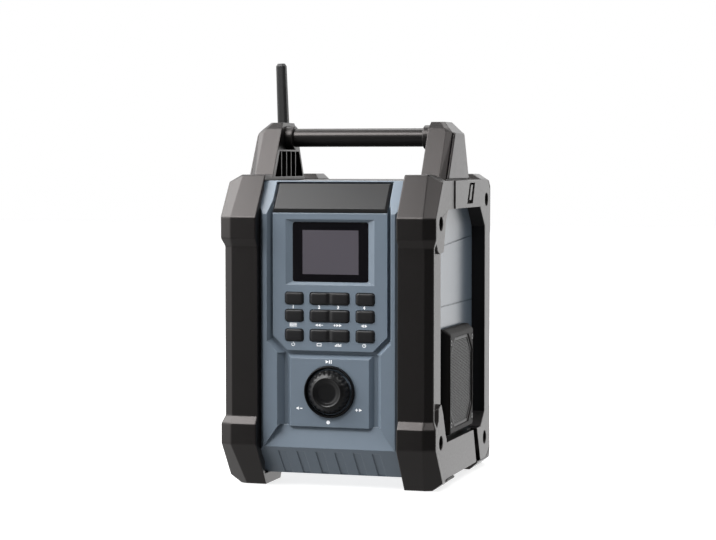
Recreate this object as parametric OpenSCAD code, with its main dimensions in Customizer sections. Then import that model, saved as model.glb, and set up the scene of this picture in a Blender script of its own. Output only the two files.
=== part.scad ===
// Jobsite radio: blue-grey body between black corner guards and side frames,
// roll-bar handle, folding rubber antenna, boxed side speakers, key pad and
// one push-and-turn control. Millimetres, +Z up, front faces -Y, the origin is
// on the ground under the middle of the body.

/* [Body] */
// Width over the two side frames
body_w = 185.2; // [184.8:0.1:185.6]
// Depth over the front and rear guards
body_d = 214; // [213.6:0.1:214.4]
// Thickness of the moulded shells
shell_t = 3; // [2.6:0.1:3.2]

/* [Handle] */
// Diameter of the handle tube
tube_d = 16; // [15:0.5:17]
// Height of the handle tube's axis
tube_z = 295.3; // [294:0.1:296]

/* [Controls] */
// Diameter of the knurled control
knob_d = 37.4; // [36:0.1:38]
// Number of flutes round the control
knob_flutes = 24; // [16:1:30]
// Width of a single key
key_w = 16; // [15:0.1:16.2]
// Width of a rocker key
rocker_w = 34; // [33:0.1:34.2]
// Height of every key
key_h = 10; // [9.4:0.1:10.2]

/* [Sound and aerial] */
// Diameter of the loudspeaker cone opening
cone_d = 61; // [56:1:61]
// Height of the antenna's tip
antenna_top = 363; // [340:1:365]

/* [Hidden] */
$fn = 48;
fx = body_w / 2;         // side frame plane
fy = body_d / 2;         // guard plane, front and rear
kx = 80.5;               // side plane of the blue body
join_y = -72;            // parting plane of front panel and rear housing
face_y = -98;            // margin plane of the front panel
plate_y = -94.5;         // octagon plate
moat_y = -90.5;          // channel floor
plat_y = -95;            // plateau round the control
top_z = 258.5;           // top of the body
knob_z = 82.3;           // height of the control's axis
row_z = [160.2, 145.7, 129.3];
sp_y = 1;                // loudspeaker axis
sp_z = 85.5;
tube_y = -7;
ant_x = -86.8;
ant_y = 47;
ant_z = 270;             // antenna hinge height
lug = [[-78, 223], [-81, 41], [81, 240.7], [76, 26.5]];
grille_scr = [[-36, 120.5], [38, 120.5], [-36, 50.5], [38, 50.5]];

BLUE = [0.40, 0.47, 0.53];
BLACK = [0.13, 0.125, 0.125];
SOFT = [0.09, 0.09, 0.09];

// ---- helpers -------------------------------------------------------------

// outline in (y, z), carried along x
module run_x(p, x0, x1) translate([x0, 0, 0]) rotate([90, 0, 90]) linear_extrude(x1 - x0) polygon(p);
// outline in (x, z), carried along y
module run_y(p, y0, y1) translate([0, y1, 0]) rotate([90, 0, 0]) linear_extrude(y1 - y0) polygon(p);
// outline in (x, y), carried along z
module run_z(p, z0, z1) translate([0, 0, z0]) linear_extrude(z1 - z0) polygon(p);
// round bar along x or y
module bar_x(r, x0, x1, y, z) translate([x0, y, z]) rotate([0, 90, 0]) cylinder(r = r, h = x1 - x0);
module bar_y(r, x, y0, y1, z) translate([x, y0, z]) rotate([-90, 0, 0]) cylinder(r = r, h = y1 - y0);
module block(x0, x1, y0, y1, z0, z1) translate([x0, y0, z0]) cube([x1 - x0, y1 - y0, z1 - z0]);
// rectangle with round corners, centred
module soft_rect(w, h, r) {
    square([w - 2 * r, h], center = true);
    square([w, h - 2 * r], center = true);
    for (a = [-1, 1], b = [-1, 1]) translate([a * (w / 2 - r), b * (h / 2 - r)]) circle(r);
}
// soft rectangle in the x-z plane, carried along y
module pad_y(x, z, w, h, r, y0, y1) translate([x, y1, z]) rotate([90, 0, 0]) linear_extrude(y1 - y0) soft_rect(w, h, r);
// right-hand piece, or its mirror image on the left
module hand(s) mirror([s < 0 ? 1 : 0, 0, 0]) children();

// ---- front panel ---------------------------------------------------------

module panel_block() intersection() {
    run_z([[-kx, join_y], [-kx, -83.5], [-72, -92], [-61, -92], [-61, -94.5], [-57.5, face_y],
           [57.5, face_y], [61, -94.5], [61, -92], [72, -92], [kx, -83.5], [kx, join_y]], 9, 260);
    run_x([[join_y, 10], [-74.5, 10], [-97, 34.6], [face_y, 36.5], [face_y, 231], [-78.5, top_z], [join_y, top_z]], -90, 90);
}

// flared pocket round the octagon plate, open to the front
module octagon_pocket() intersection() {
    run_z([[-51.4, moat_y], [51.4, moat_y], [54.2, face_y], [54.2, -112], [-54.2, -112], [-54.2, face_y]], 100, 270);
    run_x([[moat_y, 113.4], [face_y, 109.4], [-112, 109.4], [-112, 270], [moat_y, 270]], -70, 70);
    rotate([0, -45, 0]) run_x([[moat_y, 52.86], [face_y, 49.1], [-112, 49.1], [-112, 420], [moat_y, 420]], -400, 400);
    rotate([0, 45, 0]) run_x([[moat_y, 52.86], [face_y, 49.1], [-112, 49.1], [-112, 420], [moat_y, 420]], -400, 400);
}

// flared channel beside the control's plateau
module control_pocket() run_z([[-41, moat_y], [41, moat_y], [45.2, face_y], [45.2, -112], [-45.2, -112], [-45.2, face_y]], 53.5, 114);

// flared ledge under the control
module ledge_pocket() intersection() {
    run_y([[-44.1, 53.5], [-40, 53.5], [-40, 57], [40, 57], [40, 53.5], [44.1, 53.5], [57.3, 34.8], [-57.3, 34.8]], -112, -85);
    run_x([[-91.6, 57], [-91.6, 53.5], [-97.2, 34.8], [-112, 34.8], [-112, 57]], -70, 70);
}

module octagon_plate() intersection() {
    run_y([[-50, 129], [-37.5, 116.4], [37.5, 116.4], [50, 129], [50, 245], [-50, 245]], -100, moat_y + 1);
    block(-60, 60, plate_y, moat_y + 1, 100, 250);
}

module plateau() intersection() {
    run_z([[-37.6, moat_y + 0.5], [-37.6, moat_y], [-34.3, plat_y], [34.3, plat_y], [37.6, moat_y], [37.6, moat_y + 0.5]], 45, 115);
    run_x([[moat_y + 0.5, 52.6], [plat_y, 52.6], [plat_y, 109.9], [moat_y, 113.4], [moat_y + 0.5, 113.4]], -60, 60);
}

// flared recess round the display window
module window_pocket() intersection() {
    run_z([[-33.3, -92.3], [33.3, -92.3], [38.8, plate_y], [38.8, -112], [-38.8, -112], [-38.8, plate_y]], 150, 240);
    run_x([[-92.3, 173.9], [plate_y, 171.6], [-112, 171.6], [-112, 226.4], [plate_y, 226.4], [-92.3, 224.3]], -60, 60);
}

// shallow tray for the label plate on the top slope, ending the octagon plate
module slope_tray() run_x([[-106.07, 214.89], [-76.9, 256.02], [-86.69, 262.96], [-115.86, 221.83]], -51.2, 51.2);

module front_panel() color(BLUE) difference() {
    union() {
        difference() {
            panel_block();
            octagon_pocket();
            control_pocket();
            ledge_pocket();
        }
        octagon_plate();
        plateau();
        for (s = [-1, 1], z = [72, 166]) bar_y(3.4, s * 44.5, -89, -80, z);
    }
    slope_tray();
    // hollow inside, round the board's bosses
    difference() {
        intersection() {
            run_z([[-kx + shell_t, join_y + 1], [-kx + shell_t, -82.3], [-70.8, -88], [70.8, -88], [kx - shell_t, -82.3], [kx - shell_t, join_y + 1]], 5, 265);
            run_x([[join_y + 1, 10 + shell_t], [-72.4, 10 + shell_t], [-88, 30.4], [-88, 235.2], [-73.6, 255.5], [join_y + 1, 255.5]], -90, 90);
        }
        for (s = [-1, 1], z = [72, 166]) bar_y(3.4, s * 44.5, -89, -80, z);
    }
    for (s = [-1, 1], z = [72, 166]) bar_y(1.25, s * 44.5, -86, -79, z);
    window_pocket();
    // seat and hole for the display window
    pad_y(0, 199.05, 66.3, 50.3, 2, -93, -90);
    block(-29, 29, -91, -85, 178, 220);
    // key holes
    for (z = row_z) {
        for (s = [-1, 1]) pad_y(s * 31, z, key_w + 0.7, key_h + 0.7, 2.4, -99, -85);
        pad_y(0, z, rocker_w + 1.2, key_h + 0.7, 2.4, -99, -85);
    }
    // seat for the collar and hole for the encoder's bush
    bar_y(21.95, 0, -99, -93.5, knob_z);
    bar_y(4.1, 0, -99, -85, knob_z);
    // grooves down the lower apron
    for (x = [-42.6, -26.1, -9.4, 7.1, 23.4, 40])
        run_x([[-100, 29.5], [-93.4, 31.6], [-92.4, 30.9], [-74.6, 11.4], [-74.4, 5], [-100, 5]], x - 3.4, x + 3.4);
    // side frame screws and clamp screws from the rear
    for (s = [-1, 1]) {
        for (p = [lug[0], lug[1]]) bar_x(2.55, s > 0 ? 66 : -90, s > 0 ? 90 : -66, p[0], p[1]);
    }
}

// ---- rear housing and deck ----------------------------------------------

function core_out(g) = [[-kx + g, join_y + g], [-kx + g, 88 - 0.42 * g], [-72 + 0.42 * g, 96.5 - g], [72 - 0.42 * g, 96.5 - g], [kx - g, 88 - 0.42 * g], [kx - g, join_y + g]];

module rear_housing() color(BLUE) difference() {
    union() {
        difference() {
            run_z([[-kx, join_y], [-kx, 88], [-72, 96.5], [72, 96.5], [kx, 88], [kx, join_y]], 10, 255);
            run_z([[-kx + shell_t, join_y - 1], [-kx + shell_t, 86.8], [-70.8, 96.5 - shell_t], [70.8, 96.5 - shell_t], [kx - shell_t, 86.8], [kx - shell_t, join_y - 1]], 10 + shell_t, 255 - shell_t);
        }
        block(-45, 45, 48, 94, 57, 203);                       // battery bay walls
        for (s = [-1, 1]) {
            block(s > 0 ? 58 : -78, s > 0 ? 78 : -58, -43.4, -40.4, 150, 240);   // board ribs
            for (p = [lug[2], lug[3]]) bar_x(5, s > 0 ? 68 : -78, s > 0 ? 78 : -68, p[0], p[1]);
        }
    }
    block(-42, 42, 51, 100, 60, 200);                          // battery bay
    block(-38, 38, 90, 100, 212, 238);                         // port opening
    for (s = [-1, 1]) {
        bar_x(cone_d / 2 + 1.5, s > 0 ? 76 : -82, s > 0 ? 82 : -76, sp_y, sp_z);
        for (p = [lug[2], lug[3]]) bar_x(2.55, s > 0 ? 66 : -90, s > 0 ? 90 : -66, p[0], p[1]);
        for (z = [160, 232]) bar_y(1.25, s * 64, -44, -40, z);
        // parting lines on the flank
        hand(s) run_x([[-71.5, 200.2], [97, 209.2], [97, 210.2], [-71.5, 201.2]], kx - 0.8, kx + 1);
        hand(s) run_x([[-71.5, 150.6], [97, 150.6], [97, 151.5], [-71.5, 151.5]], kx - 0.8, kx + 1);
        for (z = [30, 243]) bar_y(2.2, s * 55, 90, 97, z);
    }
}

module top_deck() color(BLACK) difference() {
    run_z([[-kx, join_y], [-kx, 88], [-72, 96.5], [72, 96.5], [kx, 88], [kx, join_y]], 255, top_z);
    for (i = [-3:3]) block(-48, 48, i * 9 + 8, i * 9 + 10, top_z - 1.2, top_z + 1);
}

module housing_screws() color([0.55, 0.55, 0.57]) for (s = [-1, 1], z = [30, 243]) {
    bar_y(2.1, s * 55, 91, 96.5, z);
    difference() {
        bar_y(3.9, s * 55, 96.5, 98.7, z);
        bar_y(1.9, s * 55, 97.4, 99, z);
    }
}

// ---- guards --------------------------------------------------------------

// one guard's outer form on the right: front profile, side profile and the
// bevel between them share their heights
module guard_form(front, side, bevel, angle) intersection() {
    run_x(front, 61, 110);
    run_y(side, -130, 130);
    rotate([0, 0, angle]) run_y(bevel, -200, 200);
}

front_prof = [[-81, 0], [-fy, 37], [-fy, 54], [-102.6, 60.5], [-102.6, 203.5], [-fy, 210], [-fy, 228], [-81.5, 263.5],
              [-62, 263.5], [-62, 258.5], [-62, 10], [-36, 10], [-42, 0]];
side_prof = [[40, 0], [84.5, 0], [fx, 6.5], [fx, 54], [88.3, 60.5], [88.3, 203.5], [fx, 210], [fx, 257.5], [82, 263.5], [40, 263.5]];
bevel_prof = [[-60, 0], [114.89, 0], [132.75, 37], [132.75, 54], [128.2, 60.5], [128.2, 203.5], [132.75, 210], [132.75, 228], [115.07, 263.5], [-60, 263.5]];
// the front guards stand one millimetre proud of the side frames
side_front = [[40, 0], [84.5, 0], [fx + 1, 6.5], [fx + 1, 54], [90.9, 60.5], [90.9, 203.5], [fx + 1, 210], [fx + 1, 257.5], [82, 263.5], [40, 263.5]];
front_bevel = [[-60, 0], [106.3, 0], [132.2, 37], [132.2, 54], [128.3, 60.5], [128.3, 203.5], [132.2, 210], [132.2, 228], [108, 263.5], [-60, 263.5]];
rear_prof = [[99, 0], [fy, 8], [fy, 54], [103.4, 60.5], [103.4, 203.5], [fy, 210], [fy, 253], [97, 263.5],
             [72, 263.5], [68, 258.5], [68, 10], [46, 10], [52, 0]];
rear_bevel = [[-60, 0], [126.54, 0], [132.75, 8], [132.75, 54], [128.9, 60.5], [128.9, 203.5], [132.75, 210], [132.75, 253], [125.03, 263.5], [-60, 263.5]];
turn = acos(0.752192);   // direction of the rear corner bevels, 41.22 degrees
turn_front = acos(0.417576);   // the front ones are flatter, 65.32 degrees
frame_front = [[-95.2, 37], [-71.9, 5.2], [-67, 5.2], [-61, 8], [82, 8], [95.2, 15.5], [95.2, 250], [87.2, top_z], [-72.1, top_z], [-95.2, 228]];

module guard_front_solid() difference() {
    guard_form(front_prof, side_front, front_bevel, -turn_front);
    panel_block();
    run_z([[0, -83.4], [kx, -83.4], [kx, 60], [0, 60]], 10, top_z);
    run_x(frame_front, kx, 120);
}

module guard_rear_solid() difference() {
    guard_form(rear_prof, side_prof, rear_bevel, turn);
    run_z([[0, -70], [kx, -70], [kx, 88], [72, 96.5], [0, 96.5]], 10, top_z);
    run_x(frame_front, kx, 120);
    // bevelled inner end at the top
    run_y([[55, 250.18], [66, 263.6], [68, 270], [55, 270]], 60, 120);
}

module guard_front_left() color(BLACK) hand(-1) guard_front_solid();
module guard_front_right() color(BLACK) guard_front_solid();
module guard_rear_left() color(BLACK) hand(-1) guard_rear_solid();
module guard_rear_right() color(BLACK) guard_rear_solid();

// ---- side frames ---------------------------------------------------------

module side_frame() difference() {
    intersection() {
        run_x(frame_front, kx, fx);
        rotate([0, 0, -turn]) run_y(bevel_prof, -200, 200);
    }
    // window
    run_x([[-61, 39], [60, 38], [75, 50], [75, 217], [57, 234.5], [-52, 234.5], [-62, 224], [-66, 208], [-66, 66]], kx - 1, fx + 1);
    // front strip stands back between its lugs
    run_x([[-110, 61], [-98, 67], [-80, 73.5], [-73.5, 64.5], [-64.5, 45], [-58.6, 39.1], [-58.6, 215], [-66.2, 208.5], [-68.2, 199.4], [-82.5, 198], [-97, 204.5], [-110, 207]], 88.3, fx + 1);
    // front part of the top rail stands back a little
    run_x([[-110, 190], [-33, 190], [-33, 262], [-110, 262]], fx - 1, fx + 1);
    // slanted pocket in the top rail, with a raised bar in it
    difference() {
        run_x([[8.5, 238], [29, 238], [37, 256], [18.5, 256]], fx - 3.2, fx + 1);
        run_x([[17.6, 241], [25, 241], [31.6, 254.5], [24.2, 254.5]], fx - 4, fx - 0.4);
    }
    // slanted slot in the bottom rail
    run_x([[33, 40], [46, 40], [60.5, 7], [45.5, 7]], fx - 6, fx + 1);
    // lugs: counterbores and screw holes
    for (p = lug) {
        bar_x(5.9, 85.5, 100, p[0], p[1]);
        bar_x(2.6, 70, 100, p[0], p[1]);
    }
    // clamp screws of the handle bracket
    for (y = [-28, 20]) translate([84.6, y, 225]) {
        cylinder(r = 3.7, h = 14);
        cylinder(r = 2.1, h = 60);
    }
}

module side_frame_left() color(BLACK) hand(-1) side_frame();
module side_frame_right() color(BLACK) side_frame();

module frame_screws() color([0.30, 0.30, 0.31]) for (s = [-1, 1]) hand(s) for (p = lug) difference() {
    union() {
        bar_x(4.6, 85.5, 88.3, p[0], p[1]);
        bar_x(2.45, 70, 85.5, p[0], p[1]);
    }
    bar_x(2.1, 86.6, 90, p[0], p[1]);
}

// ---- handle --------------------------------------------------------------

module level(p, z) translate([0, 0, z]) linear_extrude(0.02) polygon(p);

module bracket_form() {
    hull() {
        level([[66, -49.6], [82, -49.6], [87, -45.5], [87, 32], [81.5, 40], [66, 40]], top_z);
        level([[66, -25.1], [82, -25.1], [87, -22.5], [87, 14.5], [81.5, 20.3], [66, 20.3]], 299.5);
        level([[66, -23], [80, -23], [83.7, -20.5], [83.7, 12.5], [80, 18.5], [66, 18.5]], 303);
        level([[67, -17], [75.5, -17], [78.5, -14.5], [78.5, 9.5], [75.5, 14], [67, 14]], 308.48);
    }
}

module handle_bracket() difference() {
    bracket_form();
    // ribbed pocket on the inner face
    difference() {
        run_x([[-41, 261.5], [35, 261.5], [24.5, 283.4], [-29.5, 283.4]], 60, 78);
        for (y = [-24, -10.3, 2.2, 14.5]) block(60, 79, y - 0.8, y + 0.8, 255, 290);
    }
    bar_x(tube_d / 2 + 0.02, 60, 81, tube_y, tube_z);
    for (y = [-28, 20]) translate([84.6, y, 250]) cylinder(r = 1.9, h = 18);
}

module bracket_cover() hull() {
    run_x([[-43.5, 259.4], [29.5, 259.4], [13.6, 297.2], [11.4, 299.4], [-19, 299.4], [-21.9, 297.2]], 87, 88.6);
    run_x([[-42, 260.8], [28, 260.8], [12.8, 296.6], [10.8, 298.2], [-18.4, 298.2], [-20.8, 296.6]], 87, 89.2);
}

module handle_bracket_left() color(BLACK) hand(-1) handle_bracket();
module handle_bracket_right() color(BLACK) handle_bracket();
module bracket_cover_left() color(BLACK) hand(-1) bracket_cover();
module bracket_cover_right() color(BLACK) bracket_cover();

module bracket_screws() color([0.55, 0.55, 0.57]) for (s = [-1, 1]) hand(s) for (y = [-28, 20]) translate([84.6, y, 0]) difference() {
    union() {
        translate([0, 0, 236]) cylinder(r = 3.5, h = 3);
        translate([0, 0, 239]) cylinder(r = 1.85, h = 28);
    }
    translate([0, 0, 235]) cylinder(r = 1.7, h = 2.4);
}

module handle_tube() color(SOFT) difference() {
    bar_x(tube_d / 2, -80.5, 80.5, tube_y, tube_z);
    bar_x(tube_d / 2 - 2.2, -82, 82, tube_y, tube_z);
}

module handle_collar(s) color(BLACK) hand(s) translate([58.5, tube_y, tube_z]) rotate([0, 90, 0]) rotate_extrude()
    polygon([[tube_d / 2 + 0.03, 0], [tube_d / 2 + 1.7, 0], [tube_d / 2 + 2.5, 0.8], [tube_d / 2 + 2.5, 7.5], [tube_d / 2 + 0.03, 7.5]]);
module handle_collar_left() handle_collar(-1);
module handle_collar_right() handle_collar(1);

// ---- label, display and keys --------------------------------------------

// frame lying on the top slope: x across, y up the slope, z outwards
module on_slope() translate([0, -91.63, 240]) rotate([54.65, 0, 0]) children();

module label_plate() color(BLACK) on_slope() translate([0, 0, -2.7]) hull() {
    translate([-50.2, -8, 0]) cube([100.4, 29.2, 0.8]);
    translate([-48.2, -6, 0]) cube([96.4, 25.4, 3]);
}

module display_window() color([0.10, 0.09, 0.11]) pad_y(0, 199.05, 66, 50, 1.8, -92.2, -90);

module display_module() color([0.33, 0.32, 0.35]) difference() {
    union() {
        block(-28.5, 28.5, -89.9, -84, 178.5, 219.5);
        block(-31, 31, -87.6, -84, 176.5, 221.5);
    }
    block(-24.5, 24.5, -91, -89.5, 180.6, 217.3);
}

module display_holder() color([0.85, 0.85, 0.85]) difference() {
    block(-31, 31, -84, -80, 176.5, 221.5);
    block(-26, 26, -85, -79, 181, 217);
}

module single_key(x, z) color(SOFT) {
    pad_y(x, z, key_w, key_h, 2.2, -95.9, -87.6);
    pad_y(x, z, key_w + 3.2, key_h + 2.4, 1.6, -87.6, -86.2);
    pad_y(x, z, 7, 5, 1, -86.2, -83.4);
}

// one key that rocks about its middle, with a shallow dip there
module rocker_key(z) color(SOFT) {
    difference() {
        pad_y(0, z, rocker_w, key_h, 2.2, -95.9, -86.4);
        translate([0, -111.2, z - 10]) cylinder(r = 16, h = 20, $fn = 96);
    }
    for (s = [-1, 1]) block(-3, 3, -87.5, -86.4, s > 0 ? z + 4.9 : z - 6.1, s > 0 ? z + 6.1 : z - 4.9);
    for (s = [-1, 1]) pad_y(s * 10, z, 6, 5, 1, -86.4, -83.9);
}

module key_r1_left() single_key(-31, row_z[0]);
module key_r1_right() single_key(31, row_z[0]);
module key_r2_left() single_key(-31, row_z[1]);
module key_r2_right() single_key(31, row_z[1]);
module key_r3_left() single_key(-31, row_z[2]);
module key_r3_right() single_key(31, row_z[2]);
module rocker_r1() rocker_key(row_z[0]);
module rocker_r2() rocker_key(row_z[1]);
module rocker_r3() rocker_key(row_z[2]);

module key_mat() color([0.75, 0.75, 0.73]) {
    block(-41, 41, -81, -80, 121, 169);
    for (z = row_z) {
        for (x = [-31, -10, 10, 31]) bar_y(3.2, x, -82, -81, z);
    }
}

module control_board() color([0.06, 0.30, 0.16]) difference() {
    block(-50, 50, -80, -78.4, 64, 228);
    for (s = [-1, 1], z = [72, 166]) bar_y(1.6, s * 44.5, -81, -78, z);
}

module board_screws() color([0.6, 0.6, 0.6]) {
    for (s = [-1, 1], z = [72, 166]) {
        bar_y(1.15, s * 44.5, -85, -78.4, z);
        bar_y(2.6, s * 44.5, -78.4, -76.6, z);
    }
    for (s = [-1, 1], z = [160, 232]) {
        bar_y(1.15, s * 64, -45, -41, z);
        bar_y(2.6, s * 64, -46.8, -45, z);
    }
}

// ---- control and encoder -------------------------------------------------

module control_knob() color(SOFT) difference() {
    translate([0, 0, knob_z]) rotate([90, 0, 0]) rotate_extrude($fn = 96)
        polygon([[0, 96.3], [knob_d / 2 - 0.6, 96.3], [knob_d / 2, 97], [knob_d / 2 - 0.4, 99.6], [knob_d / 2 - 1.6, 100.9],
                 [14.2, 101.5], [13.4, 103.2], [12.6, 103.6], [11.8, 103.2], [9, 102.5], [0, 102.1]]);
    for (i = [0:knob_flutes - 1]) translate([0, 0, knob_z]) rotate([0, i * 360 / knob_flutes, 0])
        translate([knob_d / 2 + 0.55, -110, 0]) rotate([-90, 0, 0]) cylinder(r = 1.5, h = 20, $fn = 24);
    bar_y(3.02, 0, -100.6, -96, knob_z);
}

module encoder_shaft() color([0.7, 0.7, 0.72]) bar_y(3, 0, -100.4, -82.6, knob_z);
module encoder_plunger() color([0.8, 0.8, 0.8]) bar_y(4.4, 0, -82.6, -81.8, knob_z);

module encoder_body() color([0.5, 0.5, 0.52]) difference() {
    union() {
        block(-7, 7, -87, -80, knob_z - 7, knob_z + 7);
        bar_y(3.95, 0, -92.5, -86.9, knob_z);
    }
    bar_y(3.05, 0, -93, -82, knob_z);
    bar_y(5, 0, -83.4, -80.6, knob_z);
}

module knob_collar() color(SOFT) translate([0, 0, knob_z]) rotate([90, 0, 0]) rotate_extrude($fn = 96)
    polygon([[19.5, 93.5], [21.75, 93.5], [21.75, 97.2], [21.1, 97.8], [20.4, 97.6], [19.5, 95.4]]);

// ---- boards and leads inside --------------------------------------------

module main_board() color([0.06, 0.30, 0.16]) difference() {
    union() {
        block(-70, 70, -45, -43.4, 146, 246);
        block(-30, 2, -43.4, -36, 160, 186);      // heat sink
        block(20, 44, -43.4, -34, 196, 222);      // inductor can
        block(-52, -34, -43.4, -39, 205, 236);    // tuner can
    }
    for (s = [-1, 1], z = [160, 232]) bar_y(1.6, s * 64, -46, -43, z);
}

module display_ribbon() color([0.85, 0.82, 0.72])
    run_x([[-78.4, 170], [-76.5, 170], [-60, 158], [-47, 176], [-45, 176], [-45, 176.5], [-47.2, 176.5], [-60, 158.9], [-76.3, 170.5], [-78.4, 170.5]], -12, 12);

module speaker_leads() color([0.5, 0.1, 0.1]) for (s = [-1, 1]) hand(s)
    run_x([[-43.4, 151], [-40, 151], [-32, 143], [-11.2, 101.2], [-12.9, 100.4], [-33.5, 142], [-40.6, 149.2], [-43.4, 149.2]], 49, 53);

// ---- loudspeakers --------------------------------------------------------

function oct(y0, y1, z0, z1, c) = [[y0 + c, z0], [y1 - c, z0], [y1, z0 + c], [y1, z1 - c], [y1 - c, z1], [y0 + c, z1], [y0, z1 - c], [y0, z0 + c]];

module speaker_frame() difference() {
    union() {
        run_x([[-42, 42.5], [-40.5, 41], [42.5, 41], [44, 42.5], [44, 130.5], [42.5, 132], [-40.5, 132], [-42, 130.5]], kx, 85);
        hull() {
            run_x([[-42, 42.5], [-40.5, 41], [42.5, 41], [44, 42.5], [44, 130.5], [42.5, 132], [-40.5, 132], [-42, 130.5]], 84.9, 85);
            run_x([[-40, 44.5], [-38.5, 43], [40.5, 43], [42, 44.5], [42, 126.5], [40, 128], [-38, 128], [-40, 126.5]], 89.9, 90);
        }
    }
    run_x(oct(-37.6, 39.6, 47, 124, 15), 88.2, 91);
    run_x(oct(-35.6, 37.6, 49, 122, 14.2), 75, 91);
    for (p = grille_scr) {
        bar_x(2.9, 88.6, 91, p[0], p[1]);
        bar_x(1.5, 80, 91, p[0], p[1]);
    }
}
module speaker_frame_left() color(BLACK) hand(-1) speaker_frame();
module speaker_frame_right() color(BLACK) speaker_frame();

module speaker_mesh() run_x(oct(-37.3, 39.3, 47.3, 123.7, 14.9), 88.2, 89.2);
module speaker_mesh_left() color([0.3, 0.3, 0.31]) hand(-1) speaker_mesh();
module speaker_mesh_right() color([0.3, 0.3, 0.31]) speaker_mesh();

module grille_screws() color([0.16, 0.16, 0.16]) for (s = [-1, 1]) hand(s) for (p = grille_scr) difference() {
    union() {
        bar_x(2.6, 88.6, 90.2, p[0], p[1]);
        bar_x(1.4, kx, 88.6, p[0], p[1]);
    }
    bar_x(1.2, 89.5, 91, p[0], p[1]);
}

module at_cone() translate([0, sp_y, sp_z]) rotate([0, 90, 0]) children();

module speaker_basket() at_cone() difference() {
    rotate_extrude() polygon([[31.4, 77.5], [37.5, 77.5], [37.5, 75.4], [33.4, 74.6], [23, 59.5], [20, 58], [20, 44], [0, 44], [0, 61], [8.6, 61], [8.6, 50], [10.6, 50], [10.6, 60], [21.6, 60.6], [31.4, 75.6]]);
    for (i = [0:3]) rotate([0, 0, 45 + 90 * i]) translate([19, -6, 61.5]) cube([16, 12, 11]);
}
module speaker_basket_left() color([0.25, 0.25, 0.26]) hand(-1) speaker_basket();
module speaker_basket_right() color([0.25, 0.25, 0.26]) speaker_basket();

module speaker_cone() at_cone() rotate_extrude()
    polygon([[cone_d / 2, 76.4], [cone_d / 2, 77.2], [cone_d / 2 - 2, 78.4], [cone_d / 2 - 4, 77.2], [11, 66.5], [7, 68.6], [0, 69.6],
             [0, 68.8], [6.6, 67.9], [9.2, 66.2], [9.2, 53], [10, 53], [10, 65.2], [cone_d / 2 - 3.4, 76.4]]);
module speaker_cone_left() color([0.08, 0.08, 0.08]) hand(-1) speaker_cone();
module speaker_cone_right() color([0.08, 0.08, 0.08]) speaker_cone();

// ---- rear: battery dock and sockets -------------------------------------

module battery_dock() color(BLACK) {
    block(-41.8, 41.8, 51, 54, 60.2, 199.8);
    for (s = [-1, 1]) {
        block(s > 0 ? 29 : -33, s > 0 ? 33 : -29, 54, 66, 84, 176);
        block(s > 0 ? 24 : -33, s > 0 ? 33 : -24, 62, 66, 84, 176);
    }
    block(-41.8, 41.8, 54, 60, 60.2, 64);
}

module terminal_block() color([0.2, 0.2, 0.2]) {
    block(-17, 17, 54, 66, 64, 78);
    for (x = [-12, -4, 4, 12]) block(x - 0.6, x + 0.6, 56.5, 64, 78, 92);
}

module port_panel() color(BLACK) difference() {
    union() {
        block(-42, 42, 96.5, 99, 208, 250);
        block(-37.8, 37.8, 88, 96.5, 212.2, 237.8);
        for (s = [-1, 1]) block(s > 0 ? 30.5 : -34.5, s > 0 ? 34.5 : -30.5, 99, 103.9, 240, 246.6);
    }
    bar_y(1.8, -22, 86, 100, 224);            // audio socket
    bar_y(3.1, 22, 90, 100, 224);             // supply socket
    block(-6.5, 6.5, 90, 100, 221.5, 226.5);  // charging socket
    bar_x(1.2, -36, 36, 101.6, 243.3);        // hinge pin's seat
}

module flap_pin() color([0.7, 0.7, 0.72]) bar_x(1.2, -34.5, 34.5, 101.6, 243.3);

module port_flap() color(SOFT) difference() {
    union() {
        block(-30, 30, 99.6, 101.9, 212, 243.3);
        bar_x(2.3, -30, 30, 101.6, 243.3);
        block(-8, 8, 101.5, 103.6, 212, 214);
    }
    bar_x(1.25, -31, 31, 101.6, 243.3);
}

// ---- antenna -------------------------------------------------------------

module antenna_base() color(SOFT) translate([ant_x, ant_y, 0]) difference() {
    union() {
        translate([0, 0, top_z]) cylinder(r = 5.7, h = 5);
        for (s = [-1, 1]) {
            block(-4.2, 4.2, s > 0 ? 2.75 : -5.2, s > 0 ? 5.2 : -2.75, 262, ant_z);
            bar_y(4.2, 0, s > 0 ? 2.75 : -5.2, s > 0 ? 5.2 : -2.75, ant_z);
        }
    }
    bar_y(1.5, 0, -7, 7, ant_z);
}

module antenna_pin() color([0.7, 0.7, 0.72]) bar_y(1.5, ant_x, ant_y - 5.2, ant_y + 5.2, ant_z);

// soft rectangular bar, a little slimmer at its rounded tip
module antenna_rod() color(SOFT) translate([ant_x, ant_y, ant_z]) rotate([0, -2.1, 0]) difference() {
    union() {
        bar_y(4, 0, -2.45, 2.45, 0);
        block(-4, 4, -2.45, 2.45, 0, 9);
        hull() {
            translate([0, 0, 8.6]) linear_extrude(0.1) soft_rect(9.8, 9.8, 2.6, $fn = 24);
            translate([0, 0, antenna_top - ant_z - 2.4]) linear_extrude(0.1) soft_rect(8.7, 8.7, 2.6, $fn = 24);
            translate([0, 0, antenna_top - ant_z - 0.1]) linear_extrude(0.1) soft_rect(6, 6, 2, $fn = 24);
        }
    }
    bar_y(1.55, 0, -4, 4, 0);
}

// ---- nodes ---------------------------------------------------------------

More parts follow.
